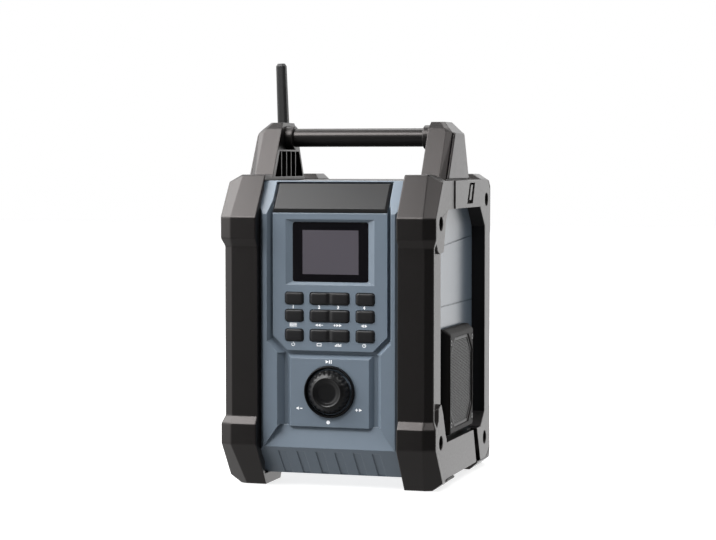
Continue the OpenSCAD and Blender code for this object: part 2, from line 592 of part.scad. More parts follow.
front_panel();
rear_housing();
top_deck();
guard_front_left();
guard_front_right();
guard_rear_left();
guard_rear_right();
side_frame_left();
side_frame_right();
frame_screws();
handle_bracket_left();
handle_bracket_right();
bracket_cover_left();
bracket_cover_right();
bracket_screws();
handle_tube();
handle_collar_left();
handle_collar_right();
label_plate();
display_window();
display_module();
display_holder();
key_r1_left();
key_r1_right();
key_r2_left();
key_r2_right();
key_r3_left();
key_r3_right();
rocker_r1();
rocker_r2();
rocker_r3();
key_mat();
control_board();
board_screws();
control_knob();
encoder_shaft();
encoder_plunger();
encoder_body();
knob_collar();
main_board();
display_ribbon();
speaker_leads();
speaker_frame_left();
speaker_frame_right();
speaker_mesh_left();
speaker_mesh_right();
grille_screws();
speaker_basket_left();
speaker_basket_right();
speaker_cone_left();
speaker_cone_right();
battery_dock();
terminal_block();
port_panel();
port_flap();
flap_pin();
antenna_base();
antenna_pin();
antenna_rod();
housing_screws();
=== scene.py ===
import bpy, bmesh, math
from mathutils import Vector, Matrix


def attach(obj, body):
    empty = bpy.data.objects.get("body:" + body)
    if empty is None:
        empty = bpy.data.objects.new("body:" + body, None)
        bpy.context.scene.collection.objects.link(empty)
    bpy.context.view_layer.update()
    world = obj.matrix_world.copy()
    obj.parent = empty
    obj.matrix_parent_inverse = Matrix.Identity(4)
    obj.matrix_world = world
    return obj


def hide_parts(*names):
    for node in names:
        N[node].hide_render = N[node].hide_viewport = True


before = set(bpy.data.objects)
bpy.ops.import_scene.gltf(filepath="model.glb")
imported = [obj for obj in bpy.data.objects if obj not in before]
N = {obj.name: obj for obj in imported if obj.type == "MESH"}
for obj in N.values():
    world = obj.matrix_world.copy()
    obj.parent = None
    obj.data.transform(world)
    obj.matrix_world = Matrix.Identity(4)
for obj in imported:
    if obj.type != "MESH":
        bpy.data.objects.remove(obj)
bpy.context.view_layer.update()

scene = bpy.context.scene
scene.view_settings.view_transform = "Standard"
scene.view_settings.look = "None"
scene.view_settings.exposure = 0.0
scene.view_settings.gamma = 1.0
MM = 0.001
DIM, LEFT_LIGHT, REAR_LIGHT, LOW_LIGHT = 0.03, 2.2, 1.75, 0.40      # radiance of the studio: unlit parts, left, behind the radio, from the floor


def srgb(r, g, b):
    """Display colour 0..255 to linear."""
    def lin(c):
        c /= 255.0
        return c / 12.92 if c <= 0.04045 else ((c + 0.055) / 1.055) ** 2.4
    return (lin(r), lin(g), lin(b), 1.0)


# ---------------------------------------------------------------- camera
AZ, F_PX = math.radians(16.7), 2114.0
cam_data = bpy.data.cameras.new("camera")
cam = bpy.data.objects.new("camera", cam_data)
scene.collection.objects.link(cam)
cam_data.sensor_width = 36.0
cam_data.lens = 36.0 * F_PX / 716.0
cam_data.clip_start, cam_data.clip_end = 0.05, 50.0
cam.location = (0.5282, -1.7727, 0.2750)
pitch = math.atan(109.0 / F_PX)
forward = Vector((-math.sin(AZ) * math.cos(pitch), math.cos(AZ) * math.cos(pitch), -math.sin(pitch)))
cam.rotation_mode = "QUATERNION"
cam.rotation_quaternion = forward.to_track_quat("-Z", "Y")
scene.camera = cam


# ---------------------------------------------------------------- materials
class Build:
    """Small wrapper that lays out a node material."""

    def __init__(self, name):
        self.m = bpy.data.materials.new(name)
        self.m.use_nodes = True
        self.nt = self.m.node_tree
        self.nt.nodes.clear()
        self.out = self.nt.nodes.new("ShaderNodeOutputMaterial")
        self.p = self.nt.nodes.new("ShaderNodeBsdfPrincipled")
        self.link(self.p.outputs[0], self.out.inputs[0])
        self.coord = self.nt.nodes.new("ShaderNodeTexCoord").outputs["Object"]

    def link(self, a, b):
        self.nt.links.new(a, b)

    def noise(self, scale, detail=3.0, rough=0.55, stretch=None, w=None):
        n = self.nt.nodes.new("ShaderNodeTexNoise")
        n.inputs["Scale"].default_value = scale
        n.inputs["Detail"].default_value = detail
        n.inputs["Roughness"].default_value = rough
        src = self.coord
        if stretch:
            mp = self.nt.nodes.new("ShaderNodeMapping")
            mp.inputs["Scale"].default_value = stretch
            self.link(src, mp.inputs["Vector"])
            src = mp.outputs[0]
        self.link(src, n.inputs["Vector"])
        return n.outputs["Fac"]

    def ramp(self, fac, stops):
        r = self.nt.nodes.new("ShaderNodeValToRGB")
        e = r.color_ramp.elements
        while len(e) < len(stops):
            e.new(0.5)
        for el, (pos, col) in zip(e, stops):
            el.position = pos
            el.color = col
        self.link(fac, r.inputs[0])
        return r.outputs[0]

    def remap(self, fac, a, b, c, d):
        n = self.nt.nodes.new("ShaderNodeMapRange")
        for i, v in zip(("From Min", "From Max", "To Min", "To Max"), (a, b, c, d)):
            n.inputs[i].default_value = v
        self.link(fac, n.inputs["Value"])
        return n.outputs[0]

    def math(self, op, a, b=None):
        n = self.nt.nodes.new("ShaderNodeMath")
        n.operation = op
        for s, v in zip(n.inputs, (a, b)):
            if v is None:
                continue
            if isinstance(v, (int, float)):
                s.default_value = v
            else:
                self.link(v, s)
        return n.outputs[0]

    def mix(self, fac, a, b, blend="MIX"):
        n = self.nt.nodes.new("ShaderNodeMix")
        n.data_type = "RGBA"
        n.blend_type = blend
        for s, v in ((n.inputs[0], fac), (n.inputs[6], a), (n.inputs[7], b)):
            if isinstance(v, (int, float)):
                s.default_value = v
            elif isinstance(v, (tuple, list)):
                s.default_value = v
            else:
                self.link(v, s)
        return n.outputs[2]

    def bump(self, height, strength, distance, under=None):
        n = self.nt.nodes.new("ShaderNodeBump")
        n.inputs["Strength"].default_value = strength
        n.inputs["Distance"].default_value = distance
        self.link(height, n.inputs["Height"])
        if under is not None:
            self.link(under, n.inputs["Normal"])
        self.link(n.outputs[0], self.p.inputs["Normal"])
        return n.outputs[0]


def scaled(c, k):
    return (c[0] * k, c[1] * k, c[2] * k, 1.0)


def plastic(name, color, rough=0.45, vary=0.04, grain=0.25, grain_scale=2600.0, spec=0.5, edge=0.0, edge_color=None, coat=0.0, soft=0.0, round_mm=0.5, tint=None, uneven=1.0):
    """Moulded plastic: spark-eroded grain, slight colour drift, uneven gloss, softened edges painted lighter, partly
    as rubbed wear and partly as a painted highlight.
    """
    b = Build(name)
    drift = b.noise(55.0, 5.0, 0.6)
    col = b.ramp(drift, [(0.30, scaled(color, 1 - vary)), (0.70, scaled(color, 1 + vary))])
    under = None
    if round_mm:
        bev = b.nt.nodes.new("ShaderNodeBevel")
        bev.samples = 6
        bev.inputs["Radius"].default_value = round_mm * MM
        under = bev.outputs[0]
    # painted highlight and wear: edges turned by the bevel get a lighter colour, broken up by noise; partly rubbed
    # wear, partly a painted highlight standing in for light caught by the rounded edge
    if edge > 0:
        geo = b.nt.nodes.new("ShaderNodeNewGeometry")
        dot = b.nt.nodes.new("ShaderNodeVectorMath")
        dot.operation = "DOT_PRODUCT"
        b.link(bev.outputs[0], dot.inputs[0])
        b.link(geo.outputs["Normal"], dot.inputs[1])
        wear_and_highlight = b.remap(dot.outputs["Value"], 0.985, 0.90, 0.0, edge)
        patchy_edge = b.remap(b.noise(210.0, 5.0, 0.65), 0.35, 0.65, 0.35, 1.0)
        col = b.mix(b.math("MULTIPLY", wear_and_highlight, patchy_edge), col, edge_color or scaled(color, 2.2))
    b.link(col, b.p.inputs["Base Color"])
    r = b.remap(b.noise(420.0, 4.0, 0.6), 0.25, 0.75, rough - 0.025 * uneven, rough + 0.03 * uneven)
    b.link(r, b.p.inputs["Roughness"])
    b.p.inputs["Specular IOR Level"].default_value = spec
    if tint:
        b.p.inputs["Specular Tint"].default_value = tint
    if coat:
        b.p.inputs["Coat Weight"].default_value = coat
        b.p.inputs["Coat Roughness"].default_value = 0.12
    if soft:
        b.p.inputs["Sheen Weight"].default_value = soft
        b.p.inputs["Sheen Roughness"].default_value = 0.5
    if grain:
        b.bump(b.noise(grain_scale, 2.0, 0.6), grain, 0.00010, under=under)
    return b.m


def metal(name, color, rough=0.3, brushed=(1, 1, 1), grain=0.15, dark=0.25):
    b = Build(name)
    n = b.noise(900.0, 4.0, 0.6, stretch=brushed)
    b.link(b.ramp(n, [(0.3, scaled(color, 1 - dark)), (0.7, scaled(color, 1.05))]), b.p.inputs["Base Color"])
    b.link(b.remap(n, 0.25, 0.75, rough - 0.08, rough + 0.10), b.p.inputs["Roughness"])
    b.p.inputs["Metallic"].default_value = 1.0
    b.bump(n, grain, 0.00005)
    return b.m


BLUE = (0.160, 0.200, 0.246, 1.0)
BLACK = (0.0050, 0.0046, 0.0046, 1.0)
WARM = (1.0, 0.93, 0.91, 1.0)

# edge_color: lighter colour on the edges, partly rubbed wear and partly a painted highlight
m_blue = plastic("shell_blue_grey", BLUE, rough=0.30, vary=0.025, grain=0.16, grain_scale=2200, edge=0.35, edge_color=(0.34, 0.41, 0.47, 1), round_mm=0.6)
m_flank = plastic("housing_blue_grey", BLUE, rough=0.23, vary=0.025, grain=0.06, grain_scale=2200, edge=0.35, edge_color=(0.34, 0.41, 0.47, 1), round_mm=0.6)
m_black = plastic("guard_black", BLACK, rough=0.35, vary=0.10, grain=0.12, grain_scale=2400, edge=0.5, edge_color=(0.030, 0.028, 0.027, 1), round_mm=1.0, tint=WARM)
m_frame = plastic("frame_black", BLACK, rough=0.34, vary=0.10, grain=0.12, grain_scale=2400, edge=0.5, edge_color=(0.030, 0.028, 0.027, 1), round_mm=0.8, tint=WARM)
m_surround = plastic("surround_black", BLACK, rough=0.56, vary=0.10, grain=0.12, grain_scale=2400, spec=0.22, edge=0.5, edge_color=(0.030, 0.028, 0.027, 1), round_mm=0.8, tint=WARM)
m_deck = plastic("deck_black", BLACK, rough=0.45, grain=0.3)
m_soft = plastic("antenna_rubber", (0.010, 0.010, 0.0105, 1), rough=0.50, grain=0.18, grain_scale=3200)
m_knob = plastic("control_black", (0.0065, 0.0065, 0.007, 1), rough=0.30, spec=0.30, grain=0.06, grain_scale=3200, round_mm=0.2)
m_collar = plastic("collar_black", (0.004, 0.004, 0.0045, 1), rough=0.34, spec=0.14, grain=0.08, grain_scale=3200, round_mm=0.3)
m_key = plastic("key_silicone", (0.0070, 0.0068, 0.0076, 1), rough=0.42, spec=0.38, grain=0.06, grain_scale=3500, round_mm=0.2)
m_label = plastic("label_black", (0.014, 0.014, 0.0145, 1), rough=0.30, vary=0.04, grain=0.05, grain_scale=3000, spec=0.33, round_mm=0.4)
m_white = plastic("printed_white", (0.93, 0.94, 0.95, 1), rough=0.5, vary=0.02, grain=0.05, round_mm=0.05)
# painted glow: the white print emits a little light of its own, so it reads brighter than the lamps make it
print_glow = m_white.node_tree.nodes["Principled BSDF"]
print_glow.inputs["Emission Color"].default_value = (0.95, 0.97, 1.0, 1)
print_glow.inputs["Emission Strength"].default_value = 0.18
m_natural = plastic("natural_plastic", (0.62, 0.61, 0.58, 1), rough=0.45, grain=0.1)
m_cone = plastic("cone_fibre", (0.014, 0.014, 0.014, 1), rough=0.8, vary=0.3, grain=0.8, grain_scale=1400)
m_red = plastic("lead_insulation", (0.35, 0.03, 0.03, 1), rough=0.4, grain=0.1)
m_tube = plastic("tube_black", (0.0062, 0.006, 0.006, 1), rough=0.30, vary=0.08, grain=0.0, tint=WARM, round_mm=0, uneven=0.1)
m_steel = metal("steel", (0.55, 0.55, 0.57, 1), 0.3)
m_dark_steel = metal("blackened_steel", (0.05, 0.05, 0.052, 1), 0.35)
m_mesh = plastic("grille_black", (0.010, 0.010, 0.0105, 1), rough=0.42, grain=0.08, spec=0.30, round_mm=0.1)
m_basket = plastic("basket_zinc", (0.10, 0.10, 0.105, 1), rough=0.35, grain=0.15)
m_ribbon = plastic("ribbon_cream", (0.60, 0.56, 0.42, 1), rough=0.3, grain=0.05)


def board_material():
    b = Build("circuit_board")
    brick = b.nt.nodes.new("ShaderNodeTexBrick")
    mp = b.nt.nodes.new("ShaderNodeMapping")
    mp.inputs["Rotation"].default_value = (math.radians(90), 0, 0)
    b.link(b.coord, mp.inputs["Vector"])
    b.link(mp.outputs[0], brick.inputs["Vector"])
    brick.inputs["Scale"].default_value = 130.0
    brick.inputs["Mortar Size"].default_value = 0.06
    brick.inputs["Color1"].default_value = (0.012, 0.11, 0.045, 1)
    brick.inputs["Color2"].default_value = (0.014, 0.13, 0.055, 1)
    brick.inputs["Mortar"].default_value = (0.03, 0.20, 0.08, 1)
    b.link(brick.outputs["Color"], b.p.inputs["Base Color"])
    b.link(b.remap(b.noise(300, 3), 0.3, 0.7, 0.28, 0.42), b.p.inputs["Roughness"])
    b.bump(brick.outputs["Fac"], 0.3, 0.00003)
    return b.m


m_board = board_material()


def terminal_material():
    """Black moulded block with brass blades standing out of it."""
    b = Build("terminal_block")
    sep = b.nt.nodes.new("ShaderNodeSeparateXYZ")
    b.link(b.coord, sep.inputs[0])
    blade = b.remap(sep.outputs["Z"], 0.07795, 0.07805, 0.0, 1.0)
    brass = b.ramp(b.noise(900.0, 4.0, 0.6), [(0.3, (0.56, 0.41, 0.19, 1)), (0.7, (0.79, 0.58, 0.26, 1))])
    b.link(b.mix(blade, (0.012, 0.012, 0.0125, 1), brass), b.p.inputs["Base Color"])
    b.link(blade, b.p.inputs["Metallic"])
    b.link(b.remap(b.noise(420.0, 4.0, 0.6), 0.25, 0.75, 0.28, 0.42), b.p.inputs["Roughness"])
    b.bump(b.noise(2400.0, 2.0, 0.6), 0.10, 0.00005)
    return b.m


m_terminal = terminal_material()


def screen_material():
    """Smoked window: black border round a slightly lighter clear field."""
    b = Build("display_window")
    sep = b.nt.nodes.new("ShaderNodeSeparateXYZ")
    b.link(b.coord, sep.inputs[0])
    ax = b.math("ABSOLUTE", sep.outputs["X"])
    dz = b.math("ABSOLUTE", b.math("SUBTRACT", sep.outputs["Z"], 0.1989))
    inx = b.remap(ax, 0.0243, 0.0246, 1.0, 0.0)
    inz = b.remap(dz, 0.0183, 0.0186, 1.0, 0.0)
    field = b.math("MULTIPLY", inx, inz)
    glow = b.noise(9.0, 2.0, 0.5)
    pane = b.ramp(glow, [(0.3, (0.088, 0.081, 0.096, 1)), (0.7, (0.104, 0.096, 0.112, 1))])
    b.link(b.mix(field, (0.0055, 0.005, 0.0065, 1), pane), b.p.inputs["Base Color"])
    b.link(b.remap(b.noise(60, 4), 0.3, 0.7, 0.10, 0.16), b.p.inputs["Roughness"])
    b.bump(b.noise(40, 2), 0.02, 0.0001)
    return b.m


m_window = screen_material()

m_floor = Build("floor")
m_floor.link(m_floor.ramp(m_floor.noise(1.2, 2.0), [(0.3, (0.40, 0.40, 0.40, 1)), (0.7, (0.42, 0.42, 0.42, 1))]), m_floor.p.inputs["Base Color"])
m_floor.p.inputs["Roughness"].default_value = 0.9
m_floor.p.inputs["Specular IOR Level"].default_value = 0.1
m_floor.p.inputs["Emission Color"].default_value = (1, 1, 1, 1)
m_floor.p.inputs["Emission Strength"].default_value = 0.80
m_floor = m_floor.m

MATERIALS = {
    m_blue: ["front_panel"],
    m_flank: ["rear_housing"],
    m_black: ["guard_front_left", "guard_front_right", "guard_rear_left", "guard_rear_right",
              "handle_bracket_left", "handle_bracket_right", "bracket_cover_left", "bracket_cover_right",
              "handle_collar_left", "handle_collar_right"],
    m_surround: ["speaker_frame_left", "speaker_frame_right"],
    m_frame: ["side_frame_left", "side_frame_right"],
    m_deck: ["top_deck", "battery_dock", "port_panel"],
    m_soft: ["antenna_base", "antenna_rod", "port_flap"],
    m_tube: ["handle_tube"],
    m_knob: ["control_knob"],
    m_collar: ["knob_collar"],
    m_key: ["key_r1_left", "key_r1_right", "key_r2_left", "key_r2_right", "key_r3_left", "key_r3_right",
            "rocker_r1", "rocker_r2", "rocker_r3"],
    m_label: ["label_plate"],
    m_window: ["display_window", "display_module"],
    m_natural: ["display_holder", "key_mat", "encoder_plunger"],
    m_steel: ["bracket_screws", "board_screws", "housing_screws", "flap_pin", "antenna_pin", "encoder_shaft", "encoder_body"],
    m_dark_steel: ["frame_screws", "grille_screws"],
    m_mesh: ["speaker_mesh_left", "speaker_mesh_right"],
    m_board: ["control_board", "main_board"],
    m_basket: ["speaker_basket_left", "speaker_basket_right"],
    m_cone: ["speaker_cone_left", "speaker_cone_right"],
    m_red: ["speaker_leads"],
    m_ribbon: ["display_ribbon"],
    m_terminal: ["terminal_block"],
}
for m, names in MATERIALS.items():
    for n in names:
        me = N[n].data
        me.materials.clear()
        me.materials.append(m)

# ---------------------------------------------------------------- softened edges on the moulded pieces
ROUND = {  # bevel width and weld distance in millimetres, smallest angle bevelled
    "guard_front_left": (1.0, 0.3, 18), "guard_front_right": (1.0, 0.3, 18), "guard_rear_left": (0.8, 0.9, 18), "guard_rear_right": (0.8, 0.9, 18),
    "side_frame_left": (0.5, 0.02, 28), "side_frame_right": (0.5, 0.02, 28), "top_deck": (0.5, 0.02, 28),
    "bracket_cover_left": (0.6, 0.02, 28), "bracket_cover_right": (0.6, 0.02, 28), "label_plate": (0.5, 0.02, 28),
    "speaker_frame_left": (0.8, 0.02, 28), "speaker_frame_right": (0.8, 0.02, 28), "port_flap": (0.5, 0.02, 28),
    "battery_dock": (0.5, 0.02, 28), "knob_collar": (0.2, 0.02, 28), "frame_screws": (0.25, 0.02, 28), "display_window": (0.15, 0.02, 28),
}
for name, (width, near, least) in ROUND.items():
    o = N[name]
    me = o.data
    if "custom_normal" in me.attributes:
        me.attributes.remove(me.attributes["custom_normal"])
    for p in me.polygons:
        p.use_smooth = True
    weld = o.modifiers.new("weld", "WELD")
    weld.merge_threshold = near * MM
    bev = o.modifiers.new("bevel", "BEVEL")
    bev.width = width * MM
    bev.segments = 3 if width > 0.9 else 2
    bev.limit_method = "ANGLE"
    bev.angle_limit = math.radians(least)
    bev.use_clamp_overlap = False
    bev.miter_outer = "MITER_SHARP"
    wn = o.modifiers.new("normals", "WEIGHTED_NORMAL")
    wn.keep_sharp = True
    wn.weight = 80


# ---------------------------------------------------------------- mesh helpers
def piece(name, bm, material, body, replaces=(), smooth=True, bevel=0.0, segments=2, limit=30.0, weighted=True):
    bmesh.ops.remove_doubles(bm, verts=bm.verts, dist=0.000002)
    bmesh.ops.recalc_face_normals(bm, faces=bm.faces)
    me = bpy.data.meshes.new(name)
    bm.to_mesh(me)
    bm.free()
    for p in me.polygons:
        p.use_smooth = smooth
    me.materials.append(material)
    o = bpy.data.objects.new(name, me)
    scene.collection.objects.link(o)
    if bevel:
        b = o.modifiers.new("bevel", "BEVEL")
        b.width, b.segments, b.limit_method, b.angle_limit = bevel * MM, segments, "ANGLE", math.radians(limit)
        b.use_clamp_overlap = False
    if weighted:
        w = o.modifiers.new("normals", "WEIGHTED_NORMAL")
        w.keep_sharp = True
    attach(o, body)
    if replaces:
        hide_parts(*replaces)
    return o


def to_y(x, r, z):
    """Axis along -Y through (0, z)."""
    return lambda rad, ang, d: Vector(((x + rad * math.sin(ang)) * MM, -d * MM, (z + rad * math.cos(ang)) * MM))


def lathe(bm, place, profile, n, radius=None, close=True):
    """Rings of (r, d) points set by place(r, angle, d); radius(i, angle, r) may vary the radius."""
    rings = []
    for i, (r, d) in enumerate(profile):
        if r < 1e-6:
            rings.append([bm.verts.new(place(0, 0, d))])
            continue
        ring = []
        for k in range(n):
            a = 2 * math.pi * k / n
            ring.append(bm.verts.new(place(radius(i, a, r) if radius else r, a, d)))
        rings.append(ring)
    pairs = list(zip(rings, rings[1:]))
    if close:
        pairs.append((rings[-1], rings[0]))
    for p, q in pairs:
        if len(p) == 1 and len(q) == 1:
            continue
        for k in range(n):
            k2 = (k + 1) % n
            if len(p) == 1:
                bm.faces.new((p[0], q[k], q[k2]))
            elif len(q) == 1:
                bm.faces.new((p[k], q[0], p[k2]))
            else:
                bm.faces.new((p[k], q[k], q[k2], p[k2]))
    return rings


# ---------------------------------------------------------------- control: fluted, with a dished cap
KZ = 82.3
FLUTES = 22
CUT = {3: 0.0, 4: 0.6, 5: 1.0, 6: 0.75, 7: 0.2, 8: 0.0}


def fluted(i, a, r):
    depth = CUT.get(i, 0.0)
    if not depth:
        return r
    t = 0.5 + 0.5 * math.cos(FLUTES * a)
    return r - 1.1 * depth * (1 - t ** 0.55)


bm = bmesh.new()
lathe(bm, to_y(0, 0, KZ), [
    (3.02, 96.3), (17.6, 96.3), (18.2, 96.7), (18.2, 97.5), (17.9, 97.9), (17.6, 98.6), (16.4, 100.6), (15.2, 101.8),
    (13.9, 102.6), (13.0, 103.1), (12.6, 103.45), (12.2, 103.6), (11.7, 103.5), (11.2, 103.05), (10.7, 102.8), (9.3, 102.72),
    (9.0, 102.6), (8.7, 102.4), (7.0, 102.34), (3.5, 102.3), (0, 102.3)], 264, radius=fluted, close=False)
bore = []
lathe(bm, to_y(0, 0, KZ), [(3.02, 96.3), (3.02, 100.6), (0, 100.6)], 264, close=False)
piece("control_cap", bm, m_knob, "knob", replaces=("control_knob",), weighted=False)


# ---------------------------------------------------------------- keys: pillowed caps, the long ones dip in the middle
def rounded_loop(w, h, r, nl=28, ns=8, nc=8):
    """Points of a rounded rectangle, clockwise from its top left corner's end."""
    r = max(min(r, w / 2 - 0.01, h / 2 - 0.01), 0.01)
    pts = []
    def corner(cx, cz, a0):
        for k in range(1, nc):
            a = a0 - math.pi / 2 * k / nc
            pts.append((cx + r * math.cos(a), cz + r * math.sin(a)))
    for k in range(nl + 1):
        pts.append((-w / 2 + r + (w - 2 * r) * k / nl, h / 2))
    corner(w / 2 - r, h / 2 - r, math.pi / 2)
    for k in range(ns + 1):
        pts.append((w / 2, h / 2 - r - (h - 2 * r) * k / ns))
    corner(w / 2 - r, -h / 2 + r, 0)
    for k in range(nl + 1):
        pts.append((w / 2 - r - (w - 2 * r) * k / nl, -h / 2))
    corner(-w / 2 + r, -h / 2 + r, -math.pi / 2)
    for k in range(ns + 1):
        pts.append((-w / 2, -h / 2 + r + (h - 2 * r) * k / ns))
    corner(-w / 2 + r, h / 2 - r, math.pi)
    return pts


def key_cap(name, node, cx, cz, w, h, dip=0.0):
    nl, ns, nc = 28, 8, 8
    levels = [(0.0, 86.6), (0.0, 94.75), (0.12, 95.15), (0.38, 95.48), (0.8, 95.72), (1.4, 95.86), (2.2, 95.92), (3.2, 95.92)]
    bm = bmesh.new()
    rings = []
    for inset, d in levels:
        ring = []
        for x, z in rounded_loop(w - 2 * inset, h - 2 * inset, 2.3 - inset * 0.62, nl, ns, nc):
            dd = d
            if d > 90:
                ease = min(1.0, inset / 0.9)
                crown = 0.16 * (1 - (z / (h / 2)) ** 2)
                if dip:
                    dd = d - dip * math.exp(-(x / 1.5) ** 2) * (0.25 + 0.75 * ease) + 0.10 * ease * math.cos(math.pi * (abs(x) - w / 4) / (w / 2))
                else:
                    dd = d + 0.08 * ease * (1 - (x / (w / 2)) ** 2)
                dd += crown * ease * 0.6
            ring.append(bm.verts.new(((cx + x) * MM, -dd * MM, (cz + z) * MM)))
        rings.append(ring)
    n = len(rings[0])
    for p, q in zip(rings, rings[1:]):
        for k in range(n):
            bm.faces.new((p[k], q[k], q[(k + 1) % n], p[(k + 1) % n]))
    top = rings[-1]
    low = nl + 1 + (nc - 1) + (ns + 1) + (nc - 1)          # first point of the lower edge
    for k in range(nl):
        bm.faces.new((top[k], top[k + 1], top[low + nl - k - 1], top[low + nl - k]))
    bm.faces.new(top[nl:low + 1])
    bm.faces.new(top[low + nl:] + top[:1])
    bm.faces.new(list(reversed(rings[0])))
    return piece(name, bm, m_key, node, replaces=(node,), weighted=False)


ROWS = (160.2, 145.7, 129.3)
for i, z in enumerate(ROWS, 1):
    key_cap("cap_r%d_left" % i, "key_r%d_left" % i, -31, z, 16, 10)
    key_cap("cap_r%d_right" % i, "key_r%d_right" % i, 31, z, 16, 10)
    key_cap("rocker_cap_r%d" % i, "rocker_r%d" % i, 0, z, 34, 10, dip=0.85)

# ---------------------------------------------------------------- printed marks: plain numbers and signs
FACE_PLATE, FACE_PLATEAU = 94.5, 95.0


def lettering(name, text, x, z, size, face):
    cu = bpy.data.curves.new(name, "FONT")
    cu.body = text
    cu.size = size * MM
    cu.extrude = 0.015 * MM
    cu.offset = 0.16 * MM
    cu.align_x, cu.align_y = "CENTER", "CENTER"
    tmp = bpy.data.objects.new(name + "_t", cu)
    scene.collection.objects.link(tmp)
    tmp.rotation_euler = (math.pi / 2, 0, 0)
    tmp.location = (x * MM, -(face + 0.015) * MM, z * MM)
    bpy.context.view_layer.update()
    me = bpy.data.meshes.new_from_object(tmp.evaluated_get(bpy.context.evaluated_depsgraph_get()))
    me.transform(tmp.matrix_world)
    me.name = name
    me.materials.clear()
    me.materials.append(m_white)
    bpy.data.objects.remove(tmp)
    o = bpy.data.objects.new(name, me)
    scene.collection.objects.link(o)
    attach(o, "chassis")
    return o


def flat_signs(name, shapes, face):
    """shapes: closed outlines of (x, z), each a thin printed island."""
    bm = bmesh.new()
    for pts in shapes:
        f = [bm.verts.new((x * MM, -(face + 0.03) * MM, z * MM)) for x, z in pts]
        b = [bm.verts.new((x * MM, -(face - 0.05) * MM, z * MM)) for x, z in pts]
        n = len(pts)
        bm.faces.new(f)
        bm.faces.new(list(reversed(b)))
        for k in range(n):
            bm.faces.new((f[k], b[k], b[(k + 1) % n], f[(k + 1) % n]))
    o = piece(name, bm, m_white, "chassis", smooth=False, weighted=False)
    return o


def arc_band(cx, cz, r, t, a0, a1, n=28):
    """Closed band along an arc, angles in degrees from straight up, clockwise."""
    out, inn = [], []
    for k in range(n + 1):
        a = math.radians(a0 + (a1 - a0) * k / n)
        out.append((cx + (r + t / 2) * math.sin(a), cz + (r + t / 2) * math.cos(a)))
        inn.append((cx + (r - t / 2) * math.sin(a), cz + (r - t / 2) * math.cos(a)))
    return out + inn[::-1]


def rect(cx, cz, w, h):
    return [(cx - w / 2, cz - h / 2), (cx + w / 2, cz - h / 2), (cx + w / 2, cz + h / 2), (cx - w / 2, cz + h / 2)]


def tri(cx, cz, w, h, to=1):
    return [(cx - to * w / 2, cz - h / 2), (cx + to * w / 2, cz), (cx - to * w / 2, cz + h / 2)]


for t, x in (("1", -32.0), ("2", -9.2), ("3", 7.4), ("4", 30.1)):
    lettering("mark_" + t, t, x, 153.0, 3.9, FACE_PLATE)
z2, z3 = 138.0, 121.6
flat_signs("mark_list", [rect(-32.0, z2 + dz, 6.4, 0.62) for dz in (-1.15, 0, 1.15)], FACE_PLATE)
flat_signs("mark_down", [tri(-11.6, z2, 2.3, 2.6, -1), tri(-9.2, z2, 2.3, 2.6, -1), rect(-6.6, z2, 1.9, 0.6)], FACE_PLATE)
flat_signs("mark_up", [tri(7.0, z2, 2.3, 2.6, 1), tri(9.4, z2, 2.3, 2.6, 1), rect(4.4, z2, 1.9, 0.6), rect(4.4, z2, 0.6, 1.9)], FACE_PLATE)
flat_signs("mark_scan", [tri(28.5, z2, 2.4, 2.6, -1), tri(31.7, z2, 2.4, 2.6, 1)], FACE_PLATE)
flat_signs("mark_power", [arc_band(-32.0, z3, 1.35, 0.5, 38, 322), rect(-32.0, z3 + 1.15, 0.5, 1.7)], FACE_PLATE)
flat_signs("mark_mode", [rect(-9.2, z3 + 1.0, 4.2, 0.55), rect(-9.2, z3 - 1.0, 4.2, 0.55), rect(-11.03, z3, 0.55, 1.5), rect(-7.37, z3, 0.55, 1.5)], FACE_PLATE)
flat_signs("mark_tone", [rect(7.4 + dx, z3 - 1.3 + hh / 2, 0.75, hh) for dx, hh in ((-2.4, 1.2), (-1.2, 2.0), (0, 2.7), (1.2, 1.7), (2.4, 2.3))], FACE_PLATE)
flat_signs("mark_clock", [arc_band(30.1, z3, 1.4, 0.5, 0, 359.9, 40), rect(30.1, z3 + 0.42, 0.42, 1.0), rect(30.42, z3 - 0.08, 0.8, 0.42)], FACE_PLATE)
flat_signs("mark_play", [tri(-2.1, 107.5, 2.6, 3.0, 1), rect(0.0, 107.5, 0.8, 3.0), rect(1.5, 107.5, 0.8, 3.0)], FACE_PLATEAU)
flat_signs("mark_quieter", [tri(-28.3, 67.8, 2.6, 2.8, -1), rect(-25.0, 67.8, 2.4, 0.7)], FACE_PLATEAU)
flat_signs("mark_louder", [tri(27.0, 67.8, 2.6, 2.8, 1), rect(23.6, 67.8, 2.4, 0.7), rect(23.6, 67.8, 0.7, 2.4)], FACE_PLATEAU)
flat_signs("mark_press", [arc_band(-1.2, 56.6, 1.35, 0.5, 0, 359.9, 40), arc_band(-1.2, 56.6, 0.3, 0.6, 0, 359.9, 16)], FACE_PLATEAU)


# ---------------------------------------------------------------- perforated grilles
def octagon(y0, y1, z0, z1, c):
    return [(y0 + c, z0), (y1 - c, z0), (y1, z0 + c), (y1, z1 - c), (y1 - c, z1), (y0 + c, z1), (y0, z1 - c), (y0, z0 + c)]


def inside_oct(y, z, y0, y1, z0, z1, c):
    return y0 < y < y1 and z0 < z < z1 and min(y - y0, y1 - y) + min(z - z0, z1 - z) > c


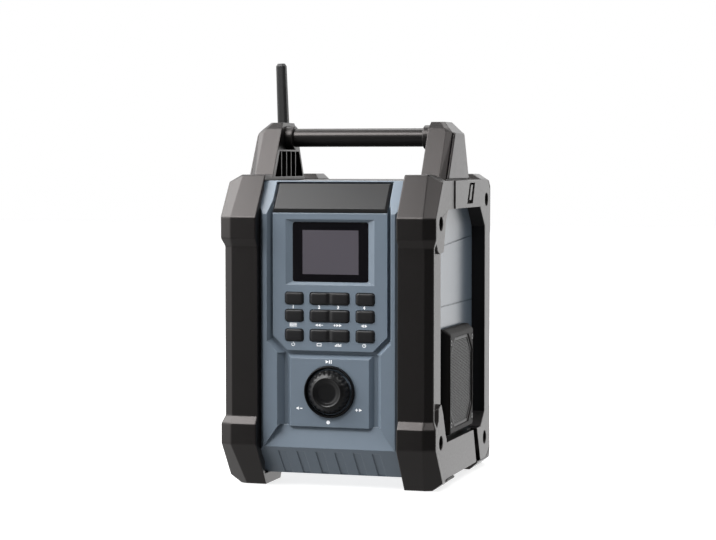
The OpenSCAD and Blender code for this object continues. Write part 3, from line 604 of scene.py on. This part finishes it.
def grille(name, side):
    y0, y1, z0, z1, c = -36.6, 38.6, 48.0, 123.0, 14.6
    pitch, hole, xo, xi = 1.5, 0.52, 88.75, 88.35
    R = pitch / math.sqrt(3)
    bm = bmesh.new()
    cache = {}
    def vert(y, z, x):
        k = (round(y, 3), round(z, 3), x)
        if k not in cache:
            bulge = 0.0
            cache[k] = bm.verts.new((side * (x + bulge) * MM, y * MM, z * MM))
        return cache[k]
    rows = int((z1 - z0) / (R * 1.5)) + 2
    for j in range(rows):
        zc = z0 + j * R * 1.5
        off = pitch / 2 if j % 2 else 0
        for i in range(int((y1 - y0) / pitch) + 2):
            yc = y0 + i * pitch + off
            if not inside_oct(yc, zc, y0, y1, z0, z1, c):
                continue
            hexp = [(yc + R * math.sin(math.radians(60 * k)), zc + R * math.cos(math.radians(60 * k))) for k in range(6)]
            holp = [(yc + hole * math.sin(math.radians(60 * k)), zc + hole * math.cos(math.radians(60 * k))) for k in range(6)]
            fo = [vert(*p, xo) for p in hexp]
            ho = [bm.verts.new((side * xo * MM, p[0] * MM, p[1] * MM)) for p in holp]
            hi = [bm.verts.new((side * xi * MM, p[0] * MM, p[1] * MM)) for p in holp]
            for k in range(6):
                k2 = (k + 1) % 6
                bm.faces.new((fo[k], fo[k2], ho[k2], ho[k]))
                bm.faces.new((ho[k], ho[k2], hi[k2], hi[k]))
    # pressed rim round the sheet
    outer, inner = octagon(-37.3, 39.3, 47.3, 123.7, 14.9), octagon(-35.0, 37.0, 49.6, 121.4, 13.9)
    loops = []
    for pts, x in ((outer, 88.2), (outer, 89.0), (inner, 89.15), (inner, 88.8), (inner, 88.2)):
        loops.append([bm.verts.new((side * x * MM, p[0] * MM, p[1] * MM)) for p in pts])
    for a, b in zip(loops, loops[1:] + loops[:1]):
        for k in range(8):
            bm.faces.new((a[k], a[(k + 1) % 8], b[(k + 1) % 8], b[k]))
    me_name = "speaker_grille_" + name
    bmesh.ops.recalc_face_normals(bm, faces=bm.faces)
    me = bpy.data.meshes.new(me_name)
    bm.to_mesh(me)
    bm.free()
    me.materials.append(m_mesh)
    o = bpy.data.objects.new(me_name, me)
    scene.collection.objects.link(o)
    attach(o, "chassis")
    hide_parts("speaker_mesh_" + name)
    return o


grille("left", -1)
grille("right", 1)

# ---------------------------------------------------------------- floor and light
def area(name, loc, target, size, power, color=(1, 1, 1), size_y=None):
    d = bpy.data.lights.new(name, "AREA")
    d.shape = "RECTANGLE"
    d.size, d.size_y = size, size_y or size
    d.energy = power
    d.color = color
    o = bpy.data.objects.new(name, d)
    scene.collection.objects.link(o)
    o.location = loc
    o.rotation_mode = "QUATERNION"
    o.rotation_quaternion = (Vector(target) - Vector(loc)).to_track_quat("-Z", "Y")
    return o


fm = bpy.data.meshes.new("floor")
bm = bmesh.new()
for x in range(-6, 7, 2):
    for y in (-0.6, 0.6, 2.0, 4.0, 7.0):
        bm.verts.new((x, y, 0))
bm.verts.ensure_lookup_table()
for i in range(6):
    for j in range(4):
        k = i * 5 + j
        bm.faces.new((bm.verts[k], bm.verts[k + 5], bm.verts[k + 6], bm.verts[k + 1]))
bm.to_mesh(fm)
bm.free()
floor = bpy.data.objects.new("floor", fm)
scene.collection.objects.link(floor)
floor.location = (0, 0, -0.0002)
fm.materials.append(m_floor)
floor.visible_diffuse = False          # the studio light below stands for its bounce
floor.visible_glossy = False

area("top_left", (-1.45, -0.45, 1.75), (0, 0, 0.15), 1.55, 50.0, size_y=1.7)
area("top_right", (1.05, -0.80, 1.75), (0, 0, 0.15), 1.0, 12.0, size_y=1.2)
area("top_back", (0.25, 0.60, 1.75), (0, 0, 0.15), 2.1, 20.0, size_y=0.8)
area("front_high", (-0.70, -1.35, 1.75), (0, 0, 0.15), 1.0, 27.0, size_y=0.7)

world = bpy.data.worlds.new("studio")
scene.world = world
world.use_nodes = True
wt = world.node_tree
wt.nodes.clear()


def wnode(kind, **kw):
    n = wt.nodes.new(kind)
    for k, v in kw.items():
        setattr(n, k, v)
    return n


w_out = wnode("ShaderNodeOutputWorld")
w_dir = wnode("ShaderNodeTexCoord")
w_sep = wnode("ShaderNodeSeparateXYZ")
wt.links.new(w_dir.outputs["Generated"], w_sep.inputs[0])


def wramp(source, a, b, c, d):
    """Smooth step of one direction component."""
    n = wnode("ShaderNodeMapRange", interpolation_type="SMOOTHSTEP")
    for k, v in zip(("From Min", "From Max", "To Min", "To Max"), (a, b, c, d)):
        n.inputs[k].default_value = v
    wt.links.new(source, n.inputs["Value"])
    return n.outputs[0]


def wmath(op, a, b):
    n = wnode("ShaderNodeMath", operation=op)
    for k, v in enumerate((a, b)):
        if isinstance(v, (int, float)):
            n.inputs[k].default_value = v
        else:
            wt.links.new(v, n.inputs[k])
    return n.outputs[0]


w_back = wramp(w_sep.outputs["Y"], 0.72, 0.93, 0.0, REAR_LIGHT)
w_left = wmath("MULTIPLY", wramp(w_sep.outputs["X"], -0.36, -0.62, 0.0, LEFT_LIGHT), wramp(w_sep.outputs["Z"], -0.30, 0.25, 0.3, 1.0))
w_low = wramp(w_sep.outputs["Z"], -0.10, -0.60, 0.0, LOW_LIGHT)
w_right = wramp(w_sep.outputs["X"], 0.70, 0.97, 0.0, 0.30)
w_sum = wmath("ADD", wmath("ADD", wmath("MAXIMUM", w_back, w_left), w_low), wmath("ADD", w_right, DIM))
w_dim = wnode("ShaderNodeBackground")
wt.links.new(w_sum, w_dim.inputs["Strength"])
w_white = wnode("ShaderNodeBackground")
w_white.inputs[1].default_value = 1.0
for n in (w_dim, w_white):
    n.inputs[0].default_value = (1, 1, 1, 1)
w_path = wnode("ShaderNodeLightPath")
w_mix = wnode("ShaderNodeMixShader")
wt.links.new(w_path.outputs["Is Camera Ray"], w_mix.inputs[0])
wt.links.new(w_dim.outputs[0], w_mix.inputs[1])
wt.links.new(w_white.outputs[0], w_mix.inputs[2])
wt.links.new(w_mix.outputs[0], w_out.inputs[0])
